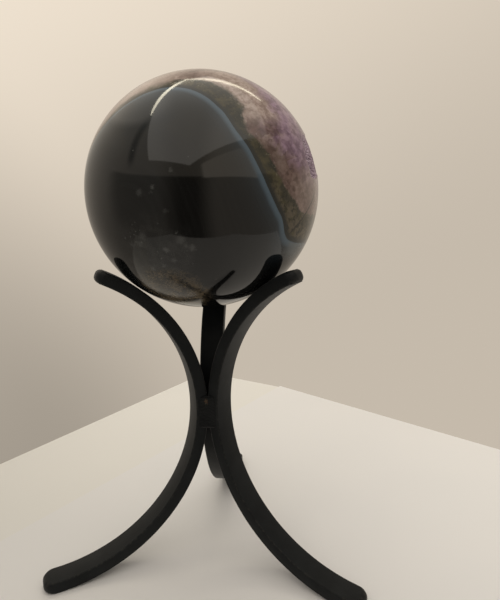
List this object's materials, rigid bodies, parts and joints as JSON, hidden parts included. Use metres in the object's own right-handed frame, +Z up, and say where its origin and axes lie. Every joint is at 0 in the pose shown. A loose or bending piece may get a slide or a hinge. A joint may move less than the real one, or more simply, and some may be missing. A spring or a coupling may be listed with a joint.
{
  "type": "amethyst sphere on stand",
  "caption": "Polished banded stone sphere with an open crystal pocket, resting on a black tripod of curved flat bars welded at the waist.",
  "frame": {"origin": "on the ground, under the middle of the object's bounding box", "axes": "+Z up; +Y towards the single back leg; the two front legs point down to -Y on either side"},
  "size_m": [0.1236, 0.1136, 0.1918],
  "materials": {
    "polished_amethyst": "polished",
    "black_painted_steel": "satin black paint",
    "black_painted_weld": "satin black paint over the weld"
  },
  "bodies": {
    "stand": {"front_left_leg": "black_painted_steel", "front_right_leg": "black_painted_steel", "back_leg": "black_painted_steel", "front_weld": "black_painted_weld", "back_right_weld": "black_painted_weld", "back_left_weld": "black_painted_weld"},
    "stone": {"sphere": "polished_amethyst"}
  },
  "joints": [
    {"name": "sphere_lift", "type": "slide", "parent": "stand", "child": "stone", "axis": [0, 0, 1], "range_m": [0, 0.06]}
  ]
}
